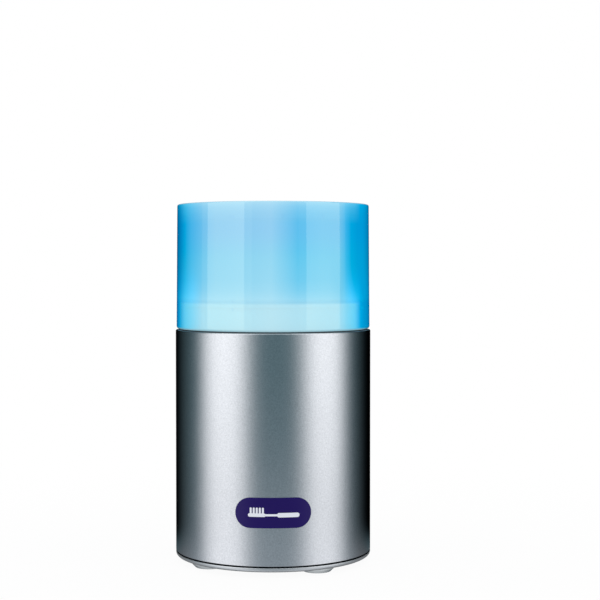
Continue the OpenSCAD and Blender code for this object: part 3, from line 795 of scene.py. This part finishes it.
def cap():
    """The whole cap: wall and rim, deck with its openings, and the clips of the guide plate."""
    segments = 192
    rim_r = 0.65
    foot_r = 0.3
    chamfer = 0.25
    deck_rim = CAP_IN_TOP_R - 0.1
    under_rim = 39.8
    under = DECK_TOP - DECK_T
    profile = [(under_rim, under), (41.0, under - 1.2), (CAP_IN_R, CAP_BOTTOM + foot_r)]
    profile += bend((CAP_IN_R + foot_r, CAP_BOTTOM + foot_r), foot_r, 180, 270, 4)
    profile += bend((CAP_R - CAP_EDGE_R, CAP_BOTTOM + CAP_EDGE_R), CAP_EDGE_R, -90, 0)
    profile += bend((CAP_TOP_R - rim_r, CAP_TOP - rim_r), rim_r, 0, 90)
    profile += bend((CAP_IN_TOP_R + rim_r, CAP_TOP - rim_r), rim_r, 90, 180)
    profile += [(CAP_IN_TOP_R, DECK_TOP + DECK_FILLET), (deck_rim, deck_height(deck_rim, 0))]
    wall_steps = (0.15, 0.4, 0.7, 1.1, 1.6, 2.2, 2.9, 4)
    lip_steps = (0.05, 0.12, 0.22, 0.35, 0.6, 0.9, 1.05, 1.2, 1.35, 1.5, 1.7, 2.3)
    shells = [turned(profile, segments)]
    shells.append(pierced_disc(deck_rim, OPENING_R, deck_height, segments, lip_steps, wall_steps))
    shells.append(pierced_disc(under_rim, OPENING_R + chamfer, lambda x, y: under, segments, (), ()))
    shells += [opening_wall(centre, under, chamfer) for centre in OPENING_CENTRES]
    vertices, faces = [], []
    for points, polygons in shells:
        first = len(vertices)
        vertices += points
        faces += [tuple(first + k for k in polygon) for polygon in polygons]
    shell = mesh_object("cap", vertices, faces, 50)
    levels = (PLATE_BOTTOM - CLIP_GAP - CLIP_H, PLATE_TOP + CLIP_GAP)
    clips = [clip(turn + 45, low) for turn in OPENING_TURNS for low in levels]
    return combine(shell, clips, "UNION", 50)


# ---------- Rinse cup ----------

def tumbler():
    high = height_of("rinse_cup", 1)
    return lathe("tumbler", fillet([
        (15, 42), (29, 42), (29, 40, 0.4), (33, 40, 0.4), (33, 42), (35.7, 42, 3),
        (36.2, high, 0.58), (35.0, high, 0.58), (34.5, 43.2, 2),
        (16.2, 43.2, 0.8), (16.2, 56, 0.55), (15, 56, 0.55),
    ]), 192)


# ---------- Power button ----------

BUTTON_FACE = 43.8                # the rim of its dished face, measured from the unit's axis
DISH_R = 4.6
DISH_DEPTH = 0.5
SPRING_SEAT = 36.22               # the return spring stands on the guide rib
SPRING_END = 39.78                # and ends at the button's flange


def bezel():
    ring = lathe("bezel", fillet([
        (6.15, 40.9), (8.95, 40.9, 0.2), (8.95, 42.0, 0.2),
        (BEZEL_R, 42.0), (BEZEL_R, 44.0, 0.4), (6.15, 44.0, 0.5),
    ]), 96)
    return place(ring, Matrix.Translation((0, 0, CONTROL_Z * MM)) @ TO_BACK)


def dish(radius):
    """Surface of the button's face at a distance from its axis, measured from the unit's axis."""
    return BUTTON_FACE - DISH_DEPTH * (1 - min(1.0, radius / DISH_R) ** 2)


def button():
    face = [(DISH_R * k / 8, dish(DISH_R * k / 8)) for k in range(8, -1, -1)]
    body = lathe("button", fillet([
        (0, 32.6), (2, 32.6, 0.2), (2, 39.8), (7, 39.8, 0.2), (7, 40.8, 0.2),
        (BUTTON_R, 40.8), (BUTTON_R, BUTTON_FACE, 0.6),
    ]) + face, 96, closed=False)
    return place(body, Matrix.Translation((0, 0, CONTROL_Z * MM)) @ TO_BACK)


def rod(name, path, radius):
    """A round rod along points in millimetres, with flat ends."""
    curve = bpy.data.curves.new(name, "CURVE")
    curve.dimensions = "3D"
    curve.bevel_depth = radius * MM
    curve.bevel_resolution = 3
    curve.use_fill_caps = True
    line = curve.splines.new("POLY")
    line.points.add(len(path) - 1)
    for point, where in zip(line.points, path):
        point.co = (*(Vector(where) * MM), 1)
    made = add_object(name, curve)
    mesh = applied_mesh(made)
    bpy.data.objects.remove(made)
    return tidy(add_object(name, mesh), 50)


def power_symbol():
    """The usual open ring and stroke, standing a little proud of the button's face."""
    radius, line, sunk = 2.3, 0.26, 0.12
    turns = [math.radians(38 + 284 * k / 40) for k in range(41)]
    arc = [(radius * math.sin(a), dish(radius) - sunk, CONTROL_Z + radius * math.cos(a)) for a in turns]
    stroke = [(0, dish(2.2) - sunk, CONTROL_Z + 2.5), (0, dish(0.6) - sunk, CONTROL_Z + 0.5)]
    return join("power_symbol", [rod("ring", arc, line), rod("stroke", stroke, line)])


def return_spring():
    """Coil with flattened end turns, standing between the guide rib and the button's flange."""
    wire, radius, turns = 0.22, 3.1, 4
    rise = SPRING_END - SPRING_SEAT - 2 * wire
    path = []
    count = turns * 40
    for k in range(count + 1):
        share = k / count
        angle = 2 * math.pi * turns * share
        path.append((radius * math.cos(angle), SPRING_SEAT + wire + rise * smooth(share, 0.12, 0.88),
                     CONTROL_Z + radius * math.sin(angle)))
    return rod("return_spring", path, wire)


# ---------- Badge on the front ----------

BADGE_Z = 27.9
BADGE_W = 33.0
BADGE_H = 13.0
PLATE_PROUD = 0.18                # how far the plate and the pictogram stand off the sleeve
PRINT_PROUD = 0.24


def wrap(name, outlines, thickness):
    """Thin plates on the front of the sleeve, from outlines that list columns of (along, low, high)."""
    vertices, faces = [], []
    for columns in outlines:
        first = len(vertices)
        for along, low, high in columns:
            a = -math.pi / 2 + along / BODY_R
            for reach in (BODY_R - 0.1, BODY_R + thickness):
                for z in (low, high):
                    vertices.append((reach * math.cos(a), reach * math.sin(a), BADGE_Z + z))
        for k in range(len(columns) - 1):
            here, there = first + 4 * k, first + 4 * k + 4
            for side in ((0, 1), (1, 3), (3, 2), (2, 0)):
                faces.append((here + side[0], here + side[1], there + side[1], there + side[0]))
        faces.append((first, first + 1, first + 3, first + 2))
        last = first + 4 * (len(columns) - 1)
        faces.append((last, last + 2, last + 3, last + 1))
    return mesh_object(name, vertices, faces)


def rounded_bar(along, across, width, height, corner):
    """Columns of a rectangle with rounded ends, centred at (along, across)."""
    columns = 9
    result = []
    ends = [corner * (1 - math.cos(math.pi / 2 * k / columns)) for k in range(columns + 1)]
    inner = [corner + (width - 2 * corner) * k / 12 for k in range(1, 12)]
    for u in ends + inner + [width - e for e in reversed(ends)]:
        short = max(0.0, corner - min(u, width - u))
        drop = corner - math.sqrt(max(0.0, corner ** 2 - short ** 2))
        half = max(height / 2 - drop, 0.01)
        result.append((along - width / 2 + u, across - half, across + half))
    return result


def badge_plate():
    return wrap("badge_plate", [rounded_bar(0, 0, BADGE_W, BADGE_H, BADGE_H / 2)], PLATE_PROUD)


def badge_brush():
    """A plain pictogram of a toothbrush."""
    bristles = [rounded_bar(-9.6 + 1.3 * k, 1.0, 0.85, 2.6, 0.35) for k in range(5)]
    head = rounded_bar(-7.0, -0.9, 7.6, 1.5, 0.7)
    neck = rounded_bar(-0.6, -0.9, 6.4, 0.9, 0.3)
    handle = rounded_bar(6.4, -0.9, 9.6, 1.9, 0.9)
    return wrap("badge_brush", bristles + [head, neck, handle], PRINT_PROUD)


# ---------- Studio ----------

# Each soft box: its two sides in degrees right of the camera, and its light at the foot and at the top.
SOFT_BOXES = ((-82.9, -32.9, 0.76, 1.80), (40.3, 86.9, 0.60, 1.76))
BOX_MARGIN = (9, 0.22)            # degrees of weaker light beyond each side, and its share
BOX_RISE = (-0.43, 0.07)          # from foot to top, as slopes above the way the camera looks
BOX_COLOUR = (0.985, 0.935, 0.945)
FRONT_LIGHT = (0.36, 0.255)       # at the foot and from eye level up
FRONT_RISE = (-0.3, 0.0)
FRONT_COLOURS = ((0.84, 0.98, 1.10), (0.60, 1.0, 1.15))
FRONT_FADE = ((-150, -80), (139, 80))    # between no front light and all of it, left and right
TOP_LIGHT = 0.45
TOP_RISE = (0.55, 0.8)            # upward slopes between which it comes in
ZENITH_LIGHT = 1.4                # straight above, where the soft boxes have faded out
ZENITH_RISE = (0.98, 0.82)
MATT_LIGHT = 0.95                 # even light on everything that doesn't mirror the room
FLOOR_GLOW = 0.93
FLOOR_REFLECTED = 0.18
FLOOR_STRETCH = (0.35, 1.7)       # how fast the reflected patch fades to the front and to the back
FLOOR_FADE = (0.12, 0.05)         # where the reflected patch has gone, and where it is full, in metres
FLOOR_COLOUR = (0.94, 0.95, 1.02)
FLOOR_BACK = (-0.01, 0.03)        # places along Y between which the patch goes over to the front light
FLOOR_SHADED = (0.08, 0.35)       # from here on the table's own shading gives way to plain white


def window(tree, value, first, last):
    """1 between two values and 0 outside them, with narrow soft sides."""
    return product(tree, step(tree, value, first - 1, first + 1), step(tree, value, last + 1, last - 1))


def camera_axis(tree, axis):
    """One of the camera's own axes (right, up, ahead), in the room's axes."""
    return add_node(tree, "VectorTransform", {"Vector": axis}, convert_from="CAMERA", convert_to="WORLD",
                    vector_type="VECTOR").outputs[0]


def box_light(tree, degrees, above_view):
    """Strength of the two soft boxes at an azimuth from the camera and a slope above its view."""
    light = 0.0
    for first, last, foot, top in SOFT_BOXES:
        margin, margin_share = BOX_MARGIN
        wide = product(tree, window(tree, degrees, first - margin, last + margin), margin_share)
        share = math_node(tree, "MAXIMUM", window(tree, degrees, first, last), wide)
        strength = product(tree, share, between(tree, above_view, BOX_RISE, (foot, top)))
        light = math_node(tree, "ADD", light, strength)
    return light


def studio_world():
    """White behind the object, and for reflections two tall soft boxes either side of the camera."""
    world = bpy.data.worlds.new("studio")
    world.use_nodes = True
    tree = world.node_tree
    tree.nodes.clear()
    world.cycles.sampling_method = "NONE"         # each kind of ray meets only its own share of the room
    bpy.context.scene.world = world
    ray = add_node(tree, "TexCoord").outputs["Generated"]
    right = camera_axis(tree, (1, 0, 0))
    level_ahead = vector_node(tree, "CROSS_PRODUCT", (0, 0, 1), right, output="Vector")
    backwards = product(tree, vector_node(tree, "DOT_PRODUCT", ray, level_ahead), -1.0)
    sideways = vector_node(tree, "DOT_PRODUCT", ray, right)
    degrees = math_node(tree, "DEGREES", math_node(tree, "ARCTAN2", sideways, backwards))
    upwards = part_of(tree, ray, "Z")
    above_view = math_node(tree, "SUBTRACT", upwards, part_of(tree, camera_axis(tree, (0, 0, 1)), "Z"))
    below_zenith = step(tree, upwards, *ZENITH_RISE)
    overhead = between(tree, below_zenith, (0, 1), (ZENITH_LIGHT, TOP_LIGHT))
    overhead = product(tree, step(tree, upwards, *TOP_RISE), overhead)
    sides = product(tree, box_light(tree, degrees, above_view), below_zenith)
    faded = product(tree, step(tree, degrees, *FRONT_FADE[0]), step(tree, degrees, *FRONT_FADE[1]))
    front = product(tree, faded, between(tree, above_view, FRONT_RISE, FRONT_LIGHT))
    front_colour = mix_colour(tree, between(tree, above_view, FRONT_RISE, (0, 1)), *FRONT_COLOURS)
    boxes = add_node(tree, "Background", {"Color": rgba(BOX_COLOUR),
                                          "Strength": math_node(tree, "ADD", overhead, sides)})
    fill = add_node(tree, "Background", {"Color": front_colour, "Strength": front})
    reflected = add_node(tree, "AddShader", {0: boxes.outputs[0], 1: fill.outputs[0]})
    soft = add_node(tree, "Background", {"Color": (1, 1, 1, 1), "Strength": MATT_LIGHT})
    backdrop = add_node(tree, "Background", {"Color": (1, 1, 1, 1), "Strength": 1.0})
    rays = add_node(tree, "LightPath")
    lit = mix_shader(tree, rays.outputs["Is Glossy Ray"], soft, reflected)
    seen = mix_shader(tree, rays.outputs["Is Camera Ray"], lit, backdrop)
    add_node(tree, "OutputWorld", {"Surface": seen.outputs[0]})


def pale_table():
    """Matte white that fades into the backdrop, leaves far reflections dark, and is clear from below."""
    material, tree = new_material("pale_table")
    material.cycles.emission_sampling = "NONE"
    geometry = add_node(tree, "NewGeometry")
    place = geometry.outputs["Position"]
    back = part_of(tree, place, "Y")
    ahead = product(tree, math_node(tree, "MINIMUM", back, 0.0), FLOOR_STRETCH[0])
    behind = product(tree, math_node(tree, "MAXIMUM", back, 0.0), FLOOR_STRETCH[1])
    stretched = {"X": part_of(tree, place, "X"), "Y": math_node(tree, "ADD", ahead, behind)}
    reach = vector_node(tree, "LENGTH", add_node(tree, "CombineXYZ", stretched).outputs[0])
    clear = add_node(tree, "BsdfTransparent")
    matte = add_node(tree, "BsdfDiffuse", {"Color": (0.96, 0.96, 0.96, 1)})
    white = add_node(tree, "Emission", {"Color": (1, 1, 1, 1), "Strength": 1.0})
    near_white = mix_shader(tree, FLOOR_GLOW, matte, white)
    gone = step(tree, vector_node(tree, "LENGTH", place), *FLOOR_SHADED)
    faded = mix_shader(tree, gone, near_white, white)
    near = product(tree, step(tree, reach, *FLOOR_FADE), FLOOR_REFLECTED)
    colour = mix_colour(tree, step(tree, back, *FLOOR_BACK), FLOOR_COLOUR, FRONT_COLOURS[1])
    patch = add_node(tree, "Emission", {"Color": colour, "Strength": near})
    reflected = add_node(tree, "AddShader", {0: patch.outputs[0], 1: clear.outputs[0]})
    rays = add_node(tree, "LightPath")
    above = mix_shader(tree, rays.outputs["Is Glossy Ray"], faded, reflected)
    one_way = mix_shader(tree, geometry.outputs["Backfacing"], above, clear)
    return finish_material(material, one_way)


def floor():
    size = 3.0
    mesh = bpy.data.meshes.new("floor")
    corners = [(-size, -size, 0), (size, -size, 0), (size, size, 0), (-size, size, 0)]
    mesh.from_pydata(corners, [], [(0, 1, 2, 3)])
    mesh.materials.append(pale_table())
    add_object("floor", mesh)


CAMERA_DISTANCE = 0.6484
CAMERA_HEIGHT = 0.1323
CAMERA_DOWN = 1.33                # degrees below level
CAMERA_RIGHT = 1.075              # degrees right of straight ahead
CAMERA_LENS = 85.85               # on a sensor 36 mm wide


def camera():
    data = bpy.data.cameras.new("camera")
    data.sensor_width = 36
    data.lens = CAMERA_LENS
    seen_from = add_object("camera", data)
    seen_from.location = (0, -CAMERA_DISTANCE, CAMERA_HEIGHT)
    seen_from.rotation_euler = (math.radians(90 - CAMERA_DOWN), 0, -math.radians(CAMERA_RIGHT))
    bpy.context.scene.camera = seen_from


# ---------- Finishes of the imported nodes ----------

def paint(material, *names):
    for name in names:
        slots = NODES[name].data.materials
        slots.clear()
        slots.append(material)


silver = silver_paint("silver_paint")
cover_finish = silver_paint("cover_paint", COVER_TOP * MM)
white = moulded_plastic("white_plastic", srgb(238, 241, 243), 0.35, 1200, coat=0.2)
dark = moulded_plastic("dark_polymer", srgb(46, 50, 54), 0.5, 1600)
steel = worked_metal("bright_steel", (0.62, 0.63, 0.65), 0.24)
brass = worked_metal("brass", (0.80, 0.60, 0.28), 0.22)
copper = worked_metal("copper", (0.82, 0.43, 0.24), 0.3)
ceramic = moulded_plastic("glazed_ceramic", srgb(236, 231, 214), 0.18, 300, coat=0.8)
board = moulded_plastic("board_laminate", srgb(24, 92, 56), 0.3, 700, coat=0.5)
glass = clear_plastic("quartz_glass", (0.95, 0.975, 1.0), 0.05)
cup = clear_plastic("clear_cup", (0.955, 0.985, 0.995), 0.07)
rubber = soft_rubber()
red = moulded_plastic("red_insulation", srgb(160, 30, 26), 0.35, 1800)
blue_sleeve = moulded_plastic("capacitor_sleeve", srgb(24, 36, 82), 0.25, 1500, coat=0.4)
ochre = moulded_plastic("film_capacitor", srgb(196, 138, 44), 0.45, 1500)
ferrite = moulded_plastic("ferrite", srgb(40, 40, 42), 0.6, 2600, depth=0.0001)

aluminium = satin_aluminium()
blue = translucent_cap()
indigo = moulded_plastic("indigo_enamel", srgb(27, 8, 88), 0.3, 2000, gloss=0.18)
print_white = moulded_plastic("white_print", srgb(226, 230, 240), 0.45, 2000)

paint(steel, "cover_screws", "interlock_magnet", "bulb_filament", "socket_screws", "jack_pin")
paint(white, "chassis", "brush_plate", "lamp_guard", "guard_crown_cap", "board_connectors")
paint(dark, "sensor_cable", "timer_chip", "driver_transistor", "dc_jack", "tact_switch")
paint(glass, "reed_switch", "bulb_glass", "fuse")
paint(brass, "bulb_base")
paint(ceramic, "lamp_socket")
paint(copper, "socket_contact", "ballast_winding")
paint(red, "lamp_wires", "switch_plunger", "switch_leads")
paint(board, "control_board", "switch_board")
paint(ferrite, "ballast_core")
paint(blue_sleeve, "capacitors")
paint(ochre, "film_capacitor")

dress(sleeve_shell(), aluminium, "base", "sleeve_aluminium", "outer_sleeve")
dress(cover_shell(), cover_finish, "base", "cover_plastic", "bottom_cover")
dress(feet(), rubber, "base", "foot_rubber", "rubber_feet")
dress(glide(), dark, "turn_ring", "dark_polymer", "glide_ring")
dress(cap(), blue, "cap", "cap_blue", "cap_shell")
dress(tumbler(), cup, "cup", "cup_clear", "rinse_cup")
dress(bezel(), silver, "base", "cover_plastic", "button_bezel")
dress(button(), silver, "button", "cover_plastic", "power_button")
dress(power_symbol(), dark, "button", "dark_polymer")
dress(badge_plate(), indigo, "base", "cover_plastic")
dress(badge_brush(), print_white, "base", "white_plastic")
spring = dress(return_spring(), steel, "base", "lead_steel", "button_spring")
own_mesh(spring)

studio_world()
floor()
camera()
bpy.context.scene.view_settings.view_transform = "Standard"
